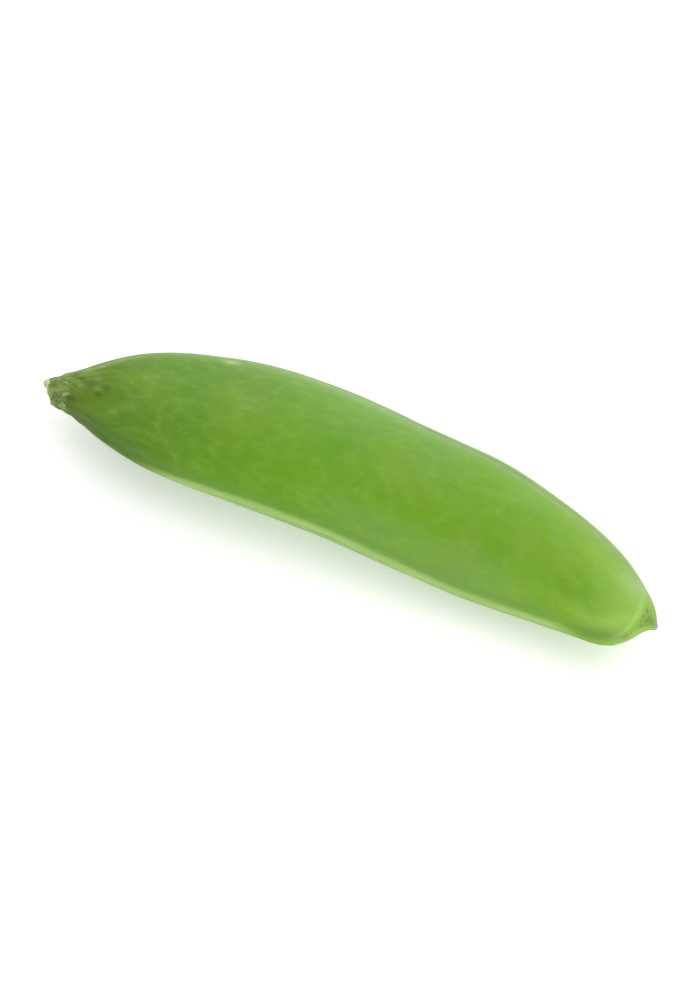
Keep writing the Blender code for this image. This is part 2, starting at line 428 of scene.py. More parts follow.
    point = point + normal * move[..., None]
    facts["net"] = net
    facts["ring_at"] = ring_at
    facts["wrinkle"] = np.clip(0.5 + 0.8 * wrinkle, 0.0, 1.0)
    facts["shrunk"] = shrunk
    facts["rim"] = at_end * bell(past_rim, 0.26)
    facts["end_face"] = at_end * smooth(0.10, 0.75, past_rim)
    return point, normal, facts


# ---------------------------------------------------------------------------
# placing: the same shift as the solid's
# ---------------------------------------------------------------------------

def solid_shift():
    """The move that the solid gets, from its own coarse loft and its box."""
    rings, segments = 62, 36
    even = np.arange(rings - 1) / (rings - 2.0)
    t = even - 0.50 * np.sin(2.0 * math.pi * even) / (2.0 * math.pi)
    a = np.arange(segments) * 2.0 * math.pi / segments
    a = a - 0.35 * np.sin(2.0 * a)
    t, a = np.meshgrid(t, a, indexing="ij")
    near, far, half = frame_at(t)
    arm = (near - far) * 0.5
    reach = np.linalg.norm(arm, axis=-1)
    power = 2.0 / SECTION_POWER
    along = signed_power(np.cos(a), power)
    up = half * signed_power(np.sin(a), power)
    point = (near + far) * 0.5 + arm * along[..., None]
    point[..., 2] += up
    d = np.abs(up - np.where(along > 0.0, CURVES[7](t), CURVES[8](t)))
    relief = 0.28 * bell(d, 0.80) - 0.14 * bell(d - 1.30, 0.40)
    relief = relief * smooth(0.0, 0.05, t) * (1.0 - smooth(0.95, 1.0, t))
    point += (arm / reach[..., None] * np.sign(along)[..., None]
              * relief[..., None])
    across = reach * along
    swell = sum(0.15 * np.exp(-((point[..., 0] - place) ** 2 + across ** 2)
                              / 3.2 ** 2)
                for place in np.linspace(15.0, 68.0, 7))
    point[..., 2] += np.sign(np.sin(a)) * swell * np.abs(np.sin(a))
    low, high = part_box("pod")
    tips = ((STATIONS[0, 0] + STATIONS[0, 3]) * 0.5 + 0.25 * STALK_INWARD[0],
            (STATIONS[-1, 0] + STATIONS[-1, 3]) * 0.5 + 0.20)
    x_low = min(point[..., 0].min(), tips[0])
    x_high = max(point[..., 0].max(), tips[1])
    shift = np.array((-(x_low + x_high) * 0.5,
                      -(point[..., 1].min() + point[..., 1].max()) * 0.5,
                      -point[..., 2].min() - REST_DEPTH))
    top = point[..., 2].max() + shift[2]
    if abs(top - high.z * 1000.0) > 0.02:
        print("the loft and the solid differ in height by",
              top - high.z * 1000.0, "mm")
    return shift


SHIFT = solid_shift()


def settle(point_mm):
    """Moves to the solid's place and flattens the wall where it rests."""
    p = point_mm + SHIFT
    z = p[..., 2]
    k = 0.10
    p[..., 2] = 0.5 * (z + np.sqrt(z * z + k * k)) + 0.002
    return p * MM


# ---------------------------------------------------------------------------
# meshes
# ---------------------------------------------------------------------------

def new_mesh_object(name, points, faces, smooth_faces=True):
    mesh = bpy.data.meshes.new(name)
    mesh.from_pydata([tuple(p) for p in points], [], faces)
    mesh.update()
    if smooth_faces:
        mesh.shade_smooth()
    made = bpy.data.objects.new(name, mesh)
    bpy.context.scene.collection.objects.link(made)
    return made


def add_mask(obj, name, values):
    layer = obj.data.attributes.new(name, "FLOAT", "POINT")
    layer.data.foreach_set("value", np.asarray(values, np.float32).ravel())


def add_vector(obj, name, values):
    layer = obj.data.attributes.new(name, "FLOAT_VECTOR", "POINT")
    layer.data.foreach_set("vector", np.asarray(values, np.float32).ravel())


RINGS = 560
SEGMENTS = 168
STEM_CAP = 9
TIP_CAP = 4


def build_pod():
    even = np.linspace(0.0, 1.0, RINGS)
    t = even - 0.55 * np.sin(2.0 * math.pi * even) / (2.0 * math.pi)
    a = np.arange(SEGMENTS) * 2.0 * math.pi / SEGMENTS
    a = a - 0.36 * np.sin(2.0 * a)
    grid_t, grid_a = np.meshgrid(t, a, indexing="ij")
    body, normal, facts = skin(grid_t, grid_a)

    # torn rim of the stalk
    rim = NOISE_C(stack(np.cos(a) * 2.6, np.sin(a) * 2.6, 9.0))
    for row, share in enumerate((0.22, 0.14, 0.08)):
        body[row] += STALK_INWARD * (share * rim)[:, None]

    # cap rings: the hollowed stalk face and the domed tip
    stem_centre = body[0].mean(axis=0)
    tip_centre = body[-1].mean(axis=0)
    stem_rings, tip_rings = [], []
    for k in range(1, STEM_CAP):
        r = 1.0 - k / STEM_CAP
        ring = stem_centre + (body[0] - stem_centre) * r
        dish = 0.42 * (1.0 - r ** 2.2)
        fibre = NOISE_D(stack(np.cos(a) * r * 5.5, np.sin(a) * r * 5.5, 1.0))
        core = 0.34 * bell(r, 0.30)
        ring += STALK_INWARD * (dish - core + 0.13 * fibre)[:, None]
        stem_rings.append(ring)
    for k in range(1, TIP_CAP):
        r = 1.0 - k / TIP_CAP
        ring = tip_centre + (body[-1] - tip_centre) * r
        ring[:, 0] += 0.20 * (1.0 - r * r)
        tip_rings.append(ring)
    stem_pole = stem_centre + STALK_INWARD * 0.10
    tip_pole = tip_centre + np.array((0.20, 0.0, 0.0))

    rows = stem_rings[::-1] + [body[i] for i in range(RINGS)] + tip_rings
    grid = np.stack(rows)
    count = len(rows)
    points = np.concatenate([stem_pole[None], grid.reshape(-1, 3),
                             tip_pole[None]])
    index = 1 + np.arange(count * SEGMENTS).reshape(count, SEGMENTS)
    after = np.roll(index, -1, axis=1)
    quads = np.stack([index[:-1], after[:-1], after[1:], index[1:]], axis=-1)
    faces = [tuple(int(v) for v in q) for q in quads.reshape(-1, 4)]
    faces += [(0, int(after[0, j]), int(index[0, j])) for j in range(SEGMENTS)]
    last = len(points) - 1
    faces += [(last, int(index[-1, j]), int(after[-1, j]))
              for j in range(SEGMENTS)]

    pod = new_mesh_object("pod_skin", settle(points), faces)

    # masks
    def spread(values, stem_value, tip_value):
        values = np.broadcast_to(values, (RINGS, SEGMENTS))
        stem = np.repeat(values[:1], STEM_CAP - 1, axis=0)
        tip = np.repeat(values[-1:], TIP_CAP - 1, axis=0)
        if stem_value is not None:
            stem = np.full_like(stem, stem_value)
        if tip_value is not None:
            tip = np.full_like(tip, tip_value)
        whole = np.concatenate([stem, values, tip]).ravel()
        first = stem_value if stem_value is not None else values[0].mean()
        final = tip_value if tip_value is not None else values[-1].mean()
        return np.concatenate([[first], whole, [final]])

    x, d, grow = facts["x"], facts["d"], facts["grow"]
    near = facts["near"]
    fray_near = 1.0 + 0.16 * NOISE_D(stack(x / 1.4, np.sign(facts["up"]), 8.0))
    on_near = np.where(near, 0.45 * bell(d, 1.05 * grow)
                       + 0.55 * smooth(1.20, 0.72, d / (grow * fray_near)), 0.0)
    # painted shade: the pale cord fades out towards the stalk
    on_near = on_near * (0.03 + 0.97 * smooth(13.0, 22.0, x))
    on_near = on_near * (1.0 - 0.92 * smooth(66.0, 72.0, x))
    edge_dark = np.where(near, bell(facts["off"] - 0.95 * grow, 0.70 * grow), 0.0)
    edge_dark = edge_dark * smooth(67.0, 72.0, x) * (1.0 - smooth(76.0, 77.3, x))
    line = np.where(near, bell(d, 0.13) + 0.55 * bell(d - 1.22 * grow
                                                      * fray_near, 0.15), 0.0)
    line = line * facts["ends"] * (1.0 - smooth(66.0, 72.0, x))
    line = line * smooth(3.0, 14.0, x)
    # the furrows beside the seams, darkened as painted shade in the material
    furrow = np.where(near, bell(d - 1.80 * grow, 0.62 * grow)
                      * (1.0 - smooth(65.0, 71.0, x)),
                      0.5 * bell(d - 1.05 * grow, 0.30 * grow)) * facts["ends"]
    fray = NOISE_C(stack(x / 1.7, facts["off"] / 1.2, 4.0))
    # the band beside the arched seam, coloured as painted shade in the material
    on_far = np.where(near, 0.0, bell(facts["off"] - (1.15 + 0.25 * fray) * grow,
                                      0.75 * grow)) * (0.8 + 0.5 * fray)
    far_line = np.where(near, 0.0, bell(facts["off"] + 0.10 * fray, 0.16))
    # the cord itself, on the side that faces away
    far_cord = np.where(near, 0.0, smooth(0.62, 0.25, facts["off"])
                        * smooth(1.15, 0.70, d / (grow * fray_near)))
    far_cord = far_cord * smooth(12.0, 22.0, x) * (1.0 - smooth(69.0, 76.0, x))
    add_mask(pod, "seam_near", spread(on_near, 0.4, None))
    add_mask(pod, "seam_line", spread(line, 0.0, 0.0))
    add_mask(pod, "furrow", spread(furrow, 0.0, 0.0))
    add_mask(pod, "seam_far", spread(on_far, 0.0, None))
    add_mask(pod, "far_line", spread(far_line * facts["ends"], 0.0, 0.0))
    add_mask(pod, "far_cord", spread(far_cord, 0.0, 0.0))
    add_mask(pod, "stem", spread(1.0 - smooth(1.5, 13.0, x), 1.0, 0.0))
    add_mask(pod, "scar", spread(bell(x - facts["ring_at"], 0.5)
                                 + (1.0 - smooth(1.3, 2.2, x)), 1.0, 0.0))
    add_mask(pod, "blossom", spread(smooth(68.0, 78.5, x), 0.0, 1.0))
    add_mask(pod, "along", spread(x, 0.0, 80.0))
    add_mask(pod, "nub", spread(smooth(79.60, 79.95, x), 0.0, 1.0))
    add_mask(pod, "wrinkle", spread(facts["wrinkle"], 0.5, 0.5))
    add_mask(pod, "shrunk", spread(facts["shrunk"], 1.0, 0.0))
    add_mask(pod, "rim", spread(facts["rim"], 0.0, 0.0))
    add_mask(pod, "end_face", spread(facts["end_face"], 0.0, 1.0))
    # the far half, where the wax bloom is laid on thicker, partly real bloom and
    # partly painted sheen
    add_mask(pod, "far_half", spread(smooth(0.45, -0.75, facts["along"]),
                                     0.0, 0.5))
    add_mask(pod, "across", spread(facts["along"], 0.0, 0.0))
    add_mask(pod, "crest", spread(facts["crest"], 0.0, 0.0))
    add_mask(pod, "edge_dark", spread(edge_dark, 0.0, 0.0))
    add_mask(pod, "olive", spread(clouds(body, OLIVE), 0.0, 0.0))
    add_mask(pod, "cool", spread(clouds(body, COOL), 0.0, 0.0))
    add_mask(pod, "neck_lime", spread(clouds(body, NECK_LIME), 0.0, 0.0))
    # painted highlight along the arched side of the neck
    neck_highlight = bell(nearness(body, NECK_HIGHLIGHT), 0.50) * smooth(3.2, 5.5, x)
    neck_highlight = neck_highlight * (1.0 - smooth(8.0, 12.0, x))
    add_mask(pod, "neck_highlight", spread(neck_highlight, 0.0, 0.0))
    # painted highlight: one small glint high on the arched side
    aside = (body - (20.0, 10.35, 3.25)) / (1.05, 0.62, 0.62)
    add_mask(pod, "painted_glint", spread(np.exp(-(aside ** 2).sum(axis=-1)), 0.0, 0.0))
    add_mask(pod, "vivid", spread(clouds(body, VIVID), 0.0, 0.0))
    add_mask(pod, "lime", spread(clouds(body, LIME), 0.0, 0.0))
    add_mask(pod, "dark", spread(facts["dark"], 0.3, 0.0))
    add_mask(pod, "pale", spread(facts["pale"], 0.3, 0.0))
    # two stains on the face of the blossom end
    stained = (bell(np.linalg.norm(body - (77.45, -2.80, 0.70), axis=-1), 0.55)
               + bell(np.linalg.norm(body - (78.95, 0.25, 1.20), axis=-1), 0.50)
               + bell(np.linalg.norm(body - (78.30, 1.20, -1.50), axis=-1), 0.60))
    add_mask(pod, "stained", spread(np.clip(stained, 0.0, 1.0), 0.0, 0.0))
    bloomed = bell(np.linalg.norm((body - (75.90, 3.05, 2.45))
                                  * (0.75, 1.0, 0.8), axis=-1), 1.55)
    bloomed = bloomed + 0.6 * bell(np.linalg.norm(body - (76.4, 1.0, -2.4),
                                                  axis=-1), 1.30)
    add_mask(pod, "tip_bloom", spread(bloomed, 0.0, 0.0))
    add_mask(pod, "veins", spread(facts["net"] * smooth(1.0, 3.0, d), 0.0, 0.0))
    # flat coordinates that follow the wall: along the pod and round it
    round_mm = grid_a * facts["reach"] * 0.8
    flat_u = spread(x, 0.0, 80.0)
    flat_v = spread(round_mm, 0.0, 0.0)
    flat_w = spread(np.sign(facts["up"]) * 3.0, 0.0, 0.0)
    add_vector(pod, "wall", np.stack([flat_u, flat_v, flat_w], axis=-1))
    return pod


def ribbon(t0, t1, a0, a1, width, lift, seed, thick=0.10):
    """A torn strip lying on the skin from (t0, a0) to (t1, a1).

    It has a top and an underside that meet along its ragged edge, and its
    free end lifts off the skin.
    """
    rng = np.random.RandomState(seed)
    n_long, n_wide = 18, 7
    u = np.linspace(0.0, 1.0, n_long)
    v = np.linspace(-1.0, 1.0, n_wide)
    uu, vv = np.meshgrid(u, v, indexing="ij")
    ragged = 1.0 + 0.30 * np.interp(u, np.linspace(0, 1, 7),
                                    rng.uniform(-1, 1, 7))
    shape = np.sqrt(np.clip(1.0 - u ** 2.4, 0.02, 1.0)) * ragged
    bend = np.interp(u, np.linspace(0, 1, 4), rng.uniform(-0.5, 0.5, 4))
    near, far, half = frame_at(np.array([t0]))
    girth = float(np.linalg.norm((near - far)[0]) * 0.5)
    half_a = width / max(girth, 0.6) * 0.5
    tt = t0 + (t1 - t0) * uu + 0.0 * vv
    tear = rng.uniform(-1, 1, n_wide) * 0.10
    tt = tt + (t1 - t0) * (uu ** 2) * tear[None, :]
    aa = a0 + (a1 - a0) * uu + (vv + bend[:, None] * uu) * half_a * shape[:, None]
    tt = np.clip(tt, 0.0, 1.0)
    base, normal, _ = skin(tt, aa)
    free = lift * uu ** 2.2
    curl = 0.10 * (vv ** 2) * uu
    body = thick * (1.0 - vv ** 2) * np.sqrt(np.clip(1.0 - uu ** 6, 0.0, 1.0))
    top = base + normal * (0.02 + free + curl + body)[..., None]
    bottom = base + normal * (-0.05 + free + curl)[..., None]
    return top, bottom


def build_calyx():
    """Torn remains of the flower's cup, as small closed strips."""
    strips = (
        # t0, t1, a0, a1, width, lift, seed
        (0.022, 0.043, 1.05, 1.20, 0.62, 0.10, 1),
        (0.024, 0.037, 1.72, 1.60, 0.45, 0.14, 2),
        (0.022, 0.050, 2.35, 2.30, 0.50, 0.08, 3),
        (0.020, 0.034, 0.55, 0.42, 0.48, 0.12, 4),
        (0.023, 0.033, 2.95, 3.08, 0.46, 0.12, 5),
        (0.022, 0.042, -0.45, -0.58, 0.52, 0.12, 6),
        (0.023, 0.038, -1.35, -1.22, 0.58, 0.10, 7),
        (0.022, 0.047, -2.15, -2.25, 0.50, 0.10, 8),
    )
    points, faces, along = [], [], []
    for strip in strips:
        top, bottom = ribbon(*strip)
        n, m = top.shape[:2]
        start = len(points)
        points += list(top.reshape(-1, 3)) + list(bottom.reshape(-1, 3))
        share = np.repeat(np.linspace(0, 1, n), m)
        along += list(share) + list(share)
        t_idx = start + np.arange(n * m).reshape(n, m)
        b_idx = t_idx + n * m
        for i in range(n - 1):
            for j in range(m - 1):
                faces.append((t_idx[i, j], t_idx[i, j + 1],
                              t_idx[i + 1, j + 1], t_idx[i + 1, j]))
                faces.append((b_idx[i, j], b_idx[i + 1, j],
                              b_idx[i + 1, j + 1], b_idx[i, j + 1]))
        for i in range(n - 1):
            faces.append((t_idx[i, 0], t_idx[i + 1, 0],
                          b_idx[i + 1, 0], b_idx[i, 0]))
            faces.append((t_idx[i + 1, -1], t_idx[i, -1],
                          b_idx[i, -1], b_idx[i + 1, -1]))
        for j in range(m - 1):
            faces.append((t_idx[0, j + 1], t_idx[0, j],
                          b_idx[0, j], b_idx[0, j + 1]))
            faces.append((t_idx[-1, j], t_idx[-1, j + 1],
                          b_idx[-1, j + 1], b_idx[-1, j]))
    faces = [tuple(int(v) for v in f) for f in faces]
    made = new_mesh_object("calyx_remains", settle(np.array(points)), faces)
    add_mask(made, "along", along)
    return made


def build_fibres():
    """Pale strands left standing on the torn face of the stalk."""
    rng = np.random.RandomState(5)
    centre = skin(np.zeros(24), np.linspace(0, 2 * math.pi, 24,
                                            endpoint=False))[0].mean(axis=0)
    points, faces, along = [], [], []
    sides, steps = 7, 9
    across = np.array((-STALK_INWARD[1], STALK_INWARD[0], 0.0))
    upright = np.array((0.0, 0.0, 1.0))
    # across the face, up, thickness, length: one broken stub and fine strands
    spots = ((0.76, 0.74, 1.12, 0.60), (0.50, -0.10, 0.32, 0.34),
             (0.18, 0.30, 0.28, 0.40), (-0.30, 0.02, 0.26, 0.34),
             (0.20, -0.36, 0.24, 0.34), (-0.72, 0.18, 0.24, 0.28))
    for y, z, thick, long in spots:
        lean = rng.uniform(-0.35, 0.35, 2)
        start = len(points)
        for i in range(steps):
            f = i / (steps - 1.0)
            mid = (centre + STALK_INWARD * (0.35 - long * f * 1.25)
                   + across * (y + lean[0] * f * f * long)
                   + upright * (z + lean[1] * f * f * long))
            radius = thick * 0.5 * (1.0 - 0.45 * f ** 2.5)
            for j in range(sides):
                g = 2.0 * math.pi * j / sides
                wob = 1.0 + 0.18 * math.sin(3.0 * g + 5.0 * f + y * 9.0)
                points.append(mid + across * (math.cos(g) * radius * wob)
                              + upright * (math.sin(g) * radius * wob))
                along.append(f)
        for i in range(steps - 1):
            for j in range(sides):
                k = (j + 1) % sides
                a0, a1 = start + i * sides + j, start + i * sides + k
                b0, b1 = a0 + sides, a1 + sides
                faces.append((a0, b0, b1, a1))
        faces.append(tuple(start + j for j in range(sides)))
        faces.append(tuple(start + (steps - 1) * sides + j
                           for j in reversed(range(sides))))
    made = new_mesh_object("stalk_fibres", settle(np.array(points)), faces)
    add_mask(made, "along", along)
    return made


# ---------------------------------------------------------------------------
# materials
# ---------------------------------------------------------------------------

class Graph:
    """A short way to write a node tree."""

    def __init__(self, name):
        self.material = bpy.data.materials.new(name)
        self.material.use_nodes = True
        self.tree = self.material.node_tree
        self.shader = self.tree.nodes["Principled BSDF"]

    def node(self, kind, **settings):
        made = self.tree.nodes.new(kind)
        for key, value in settings.items():
            setattr(made, key, value)
        return made

    def put(self, socket, value):
        if isinstance(value, bpy.types.NodeSocket):
            self.tree.links.new(value, socket)
        else:
            socket.default_value = value

    def mask(self, name):
        return self.node("ShaderNodeAttribute", attribute_name=name,
                         attribute_type="GEOMETRY").outputs["Fac"]

    def vector(self, name):
        return self.node("ShaderNodeAttribute", attribute_name=name,
                         attribute_type="GEOMETRY").outputs["Vector"]

    def place(self, source, scale, offset=(0.0, 0.0, 0.0)):
        made = self.node("ShaderNodeMapping")
        self.put(made.inputs["Vector"], source)
        made.inputs["Scale"].default_value = scale
        made.inputs["Location"].default_value = offset
        return made.outputs["Vector"]

    def noise(self, where, scale=1.0, detail=2.0, rough=0.5, warp=0.0):
        made = self.node("ShaderNodeTexNoise")
        self.put(made.inputs["Vector"], where)
        made.inputs["Scale"].default_value = scale
        made.inputs["Detail"].default_value = detail
        made.inputs["Roughness"].default_value = rough
        made.inputs["Distortion"].default_value = warp
        return made.outputs["Fac"]

    def cells(self, where, scale=1.0, feature="F1", random=1.0):
        made = self.node("ShaderNodeTexVoronoi", feature=feature)
        self.put(made.inputs["Vector"], where)
        made.inputs["Scale"].default_value = scale
        made.inputs["Randomness"].default_value = random
        return made

    def math(self, kind, a, b=0.0, clamp=False):
        made = self.node("ShaderNodeMath", operation=kind, use_clamp=clamp)
        self.put(made.inputs[0], a)
        self.put(made.inputs[1], b)
        return made.outputs[0]

    def span(self, value, from_low, from_high, to_low=0.0, to_high=1.0,
             soft=True):
        made = self.node("ShaderNodeMapRange", clamp=True,
                         interpolation_type="SMOOTHSTEP" if soft else "LINEAR")
        self.put(made.inputs["Value"], value)
        made.inputs["From Min"].default_value = from_low
        made.inputs["From Max"].default_value = from_high
        made.inputs["To Min"].default_value = to_low
        made.inputs["To Max"].default_value = to_high
        return made.outputs["Result"]

    def mix(self, share, a, b, kind="MIX"):
        made = self.node("ShaderNodeMix", data_type="RGBA", blend_type=kind,
                         clamp_factor=True)
        self.put(made.inputs[0], share)
        for socket, value in ((made.inputs[6], a), (made.inputs[7], b)):
            if isinstance(value, tuple) and len(value) == 3:
                value = (*value, 1.0)
            self.put(socket, value)
        return made.outputs[2]

    def bump(self, height, distance, strength=1.0, normal=None):
        made = self.node("ShaderNodeBump")
        made.inputs["Strength"].default_value = strength
        made.inputs["Distance"].default_value = distance
        self.put(made.inputs["Height"], height)
        if normal is not None:
            self.put(made.inputs["Normal"], normal)
        return made.outputs["Normal"]


def skin_material():
    g = Graph("pod_skin")
    coords = g.node("ShaderNodeTexCoord").outputs["Object"]
    mm = g.place(coords, (1000.0, 1000.0, 1000.0))
    wall = g.vector("wall")

    # leaf greens in broad soft patches; the deeper tone towards the stalk is
    # painted shade
    along = g.mask("along")
    colour = g.mix(g.span(along, 2.0, 42.0), (0.090, 0.228, 0.004),
                   (0.134, 0.328, 0.005))
    colour = g.mix(g.span(along, 44.0, 76.0), colour, (0.166, 0.376, 0.006))
    broad = g.noise(g.place(mm, (0.060, 0.105, 0.105)), 1.0, 2.0, 0.5, 0.3)
    colour = g.mix(g.math("MULTIPLY", g.span(broad, 0.36, 0.66), 0.30),
                   colour, (0.185, 0.345, 0.008))
    patch = g.noise(g.place(mm, (0.13, 0.24, 0.24), (3.1, 0.7, 5.2)),
                    1.0, 3.0, 0.55, 0.4)
    colour = g.mix(g.math("MULTIPLY", g.span(patch, 0.44, 0.68), 0.24),
                   colour, (0.085, 0.245, 0.016))
    fine = g.noise(g.place(mm, (0.60, 0.95, 0.95), (7.0, 1.0, 2.0)),
                   1.0, 3.0, 0.55, 0.2)
    colour = g.mix(g.math("MULTIPLY", g.span(fine, 0.42, 0.72), 0.17),
                   colour, (0.215, 0.400, 0.040))

    # painted shade: deeper on the near side towards the stalk
    across = g.mask("across")
    colour = g.mix(g.math("MULTIPLY", g.span(across, -0.20, 0.45),
                          g.span(along, 28.0, 8.0, 0.0, 0.30)),
                   colour, (0.040, 0.120, 0.003))
    # painted reflection of the white floor: greyer on the near side in the middle
    # of the pod
    painted_floor_reflection = g.math("MULTIPLY", g.span(along, 32.0, 46.0),
                  g.span(along, 70.0, 58.0))
    colour = g.mix(g.math("MULTIPLY", painted_floor_reflection,
                          g.span(across, 0.42, 0.86, 0.0, 0.065)),
                   colour, (0.600, 0.620, 0.560))

    # soft patches, with broken outlines
    broken = g.span(g.noise(g.place(mm, (0.42, 0.50, 0.50), (5.0, 9.0, 1.0)),
                            1.0, 3.0, 0.6, 0.5), 0.34, 0.62, 0.35, 1.0)
    for name, share, tone in (("olive", 0.34, (0.235, 0.330, 0.055)),
                              ("cool", 0.20, (0.150, 0.370, 0.085)),
                              ("vivid", 0.30, (0.130, 0.345, 0.004)),
                              ("lime", 0.24, (0.330, 0.480, 0.040))):
        colour = g.mix(g.math("MULTIPLY", g.math("MULTIPLY", g.mask(name),
                                                 broken), share),
                       colour, tone)

    # long faint strands and the slanting veins
    strands = g.noise(g.place(wall, (0.10, 1.15, 1.0)), 1.0, 3.0, 0.6, 0.15)
    colour = g.mix(g.math("MULTIPLY", g.span(strands, 0.50, 0.74), 0.10),
                   colour, (0.235, 0.430, 0.055))
    veins = g.mask("veins")
    colour = g.mix(g.math("MULTIPLY", veins, 0.22), colour,
                   (0.250, 0.450, 0.070))
    threads = g.cells(g.place(wall, (0.42, 1.25, 1.0), (3.0, 2.0, 0.0)), 1.0,
                      "DISTANCE_TO_EDGE")
    thread = g.span(threads.outputs["Distance"], 0.015, 0.085, 1.0, 0.0)
    thread = g.math("MULTIPLY", thread, g.span(strands, 0.40, 0.62))
    colour = g.mix(g.math("MULTIPLY", thread, 0.10), colour,
                   (0.250, 0.460, 0.048))

    # pale pinpoints of the skin
    dots = g.cells(mm, 2.3)
    near_dot = g.span(dots.outputs["Distance"], 0.08, 0.19, 1.0, 0.0)
    some = g.span(g.noise(g.place(mm, (0.9, 0.9, 0.9), (1.0, 4.0, 2.0))),
                  0.48, 0.62)
    colour = g.mix(g.math("MULTIPLY", g.math("MULTIPLY", near_dot, some), 0.24),
                   colour, (0.330, 0.520, 0.090))
    flecks = g.noise(g.place(mm, (1.5, 2.6, 2.6), (3.0, 3.0, 8.0)),
                     1.0, 3.0, 0.6, 0.3)
    colour = g.mix(g.span(flecks, 0.56, 0.70, 0.0, 0.10), colour,
                   (0.075, 0.190, 0.008))
    colour = g.mix(g.span(flecks, 0.44, 0.30, 0.0, 0.09), colour,
                   (0.280, 0.460, 0.045))

    # ends
    blossom = g.mask("blossom")
    colour = g.mix(g.math("MULTIPLY", blossom, 0.55), colour,
                   (0.285, 0.480, 0.065))
    stem = g.mask("stem")
    colour = g.mix(g.math("MULTIPLY", stem, 0.66), colour,
                   (0.098, 0.160, 0.013))
    wrinkle = g.mask("wrinkle")
    shrunk = g.mask("shrunk")
    # painted highlight and painted shade: the shrunk neck is paler on its raised
    # wrinkles and darker in the hollows between them
    colour = g.mix(g.math("MULTIPLY", shrunk,
                          g.span(wrinkle, 0.50, 0.88, 0.0, 0.62)),
                   colour, (0.275, 0.365, 0.090))
    colour = g.mix(g.math("MULTIPLY", shrunk,
                          g.span(wrinkle, 0.46, 0.14, 0.0, 0.58)),
                   colour, (0.050, 0.095, 0.008))
    streaks = g.noise(g.place(wall, (0.30, 1.60, 1.0), (2.0, 0.0, 0.0)),
                      1.0, 4.0, 0.65, 0.5)
    colour = g.mix(g.math("MULTIPLY", g.math("MULTIPLY", stem, stem),
                          g.span(streaks, 0.48, 0.64, 0.0, 0.30)),
                   colour, (0.300, 0.400, 0.110))
    freckle = g.noise(g.place(mm, (1.35, 1.6, 1.6), (0.0, 8.0, 0.0)),
                      1.0, 3.0, 0.6, 0.8)
    colour = g.mix(g.math("MULTIPLY", stem,
                          g.span(freckle, 0.55, 0.66, 0.0, 0.45)),
                   colour, (0.062, 0.120, 0.012))

    # painted shade: darker on the near lower side of the stalk end
    colour = g.mix(g.math("MULTIPLY", g.span(across, 0.35, 0.85),
                          g.span(along, 11.0, 4.0, 0.0, 0.55)),
                   colour, (0.045, 0.100, 0.003))
    colour = g.mix(g.math("MULTIPLY", g.mask("neck_lime"), 0.42), colour,
                   (0.160, 0.290, 0.010))
    # painted highlight along the arched side of the neck
    colour = g.mix(g.math("MULTIPLY", g.mask("neck_highlight"), 0.34), colour,
                   (0.330, 0.480, 0.150))

    # painted shade along the outermost near band of the neck
    colour = g.mix(g.math("MULTIPLY", g.span(across, 0.84, 0.99),
                          g.span(along, 22.0, 12.0, 0.0, 0.50)),
                   colour, (0.040, 0.090, 0.000))

    # dents and welts: darker and paler tones, partly the skin's own spots and
    # partly painted shade and painted highlight
    colour = g.mix(g.math("MULTIPLY", g.mask("dark"), 0.62), colour,
                   (0.040, 0.082, 0.006))
    colour = g.mix(g.math("MULTIPLY", g.mask("pale"), 0.50), colour,
                   (0.310, 0.420, 0.120))

    # seams
    # painted shade: a darker, greyer band in the shallow valley beside the arched
    # seam
    far_tone = g.mix(g.span(along, 24.0, 52.0), (0.150, 0.270, 0.036),
                     (0.135, 0.172, 0.048))
    far_share = g.math("MULTIPLY", g.mask("seam_far"),
                       g.span(along, 16.0, 50.0, 0.12, 0.46))
    colour = g.mix(far_share, colour, far_tone)
    colour = g.mix(g.math("MULTIPLY", g.mask("far_cord"), 0.50), colour,
                   (0.330, 0.500, 0.140))
    # the fine line on the arched cord: partly the seam's own line, partly painted
    # shade
    colour = g.mix(g.math("MULTIPLY", g.mask("far_line"), 0.50), colour,
                   (0.085, 0.175, 0.024))
    uneven = g.noise(g.place(mm, (0.17, 0.35, 0.35), (2.0, 6.0, 4.0)),
                     1.0, 3.0, 0.6, 0.4)
    near_share = g.math("MULTIPLY", g.mask("seam_near"),
                        g.span(uneven, 0.36, 0.60, 0.62, 0.84))
    colour = g.mix(near_share, colour, (0.390, 0.560, 0.195))
    # painted shade: darker in the furrows beside both seams
    colour = g.mix(g.math("MULTIPLY", g.mask("furrow"), 0.36), colour,
                   (0.062, 0.180, 0.010))
    # the fine lines along the straight cord: partly the seam's own line, partly
    # painted shade in its grooves
    colour = g.mix(g.math("MULTIPLY", g.mask("seam_line"), 0.50), colour,
                   (0.130, 0.290, 0.030))

    colour = g.mix(g.math("MULTIPLY", g.mask("edge_dark"), 0.55), colour,
                   (0.120, 0.215, 0.030))
    # painted highlight: paler along the crest that turns in from the straight seam
    colour = g.mix(g.math("MULTIPLY", g.mask("crest"), 0.33), colour,
                   (0.360, 0.600, 0.095))

    # the rim of the blossom end and the small face past it
    end_face = g.mask("end_face")
    stain = g.noise(g.place(mm, (1.7, 1.7, 1.7), (4.0, 0.0, 3.0)),
                    1.0, 3.0, 0.6, 0.4)
    colour = g.mix(g.math("MULTIPLY", end_face, 0.30), colour,
                   (0.150, 0.270, 0.025))
    colour = g.mix(g.math("MULTIPLY", end_face,
                          g.span(stain, 0.50, 0.62, 0.0, 0.55)),
                   colour, (0.135, 0.125, 0.035))
    # painted highlight: paler along the rim's ridge
    colour = g.mix(g.math("MULTIPLY", g.mask("rim"), 0.50), colour,
                   (0.370, 0.600, 0.130))
    colour = g.mix(g.math("MULTIPLY", g.mask("stained"), 0.50), colour,
                   (0.150, 0.140, 0.038))

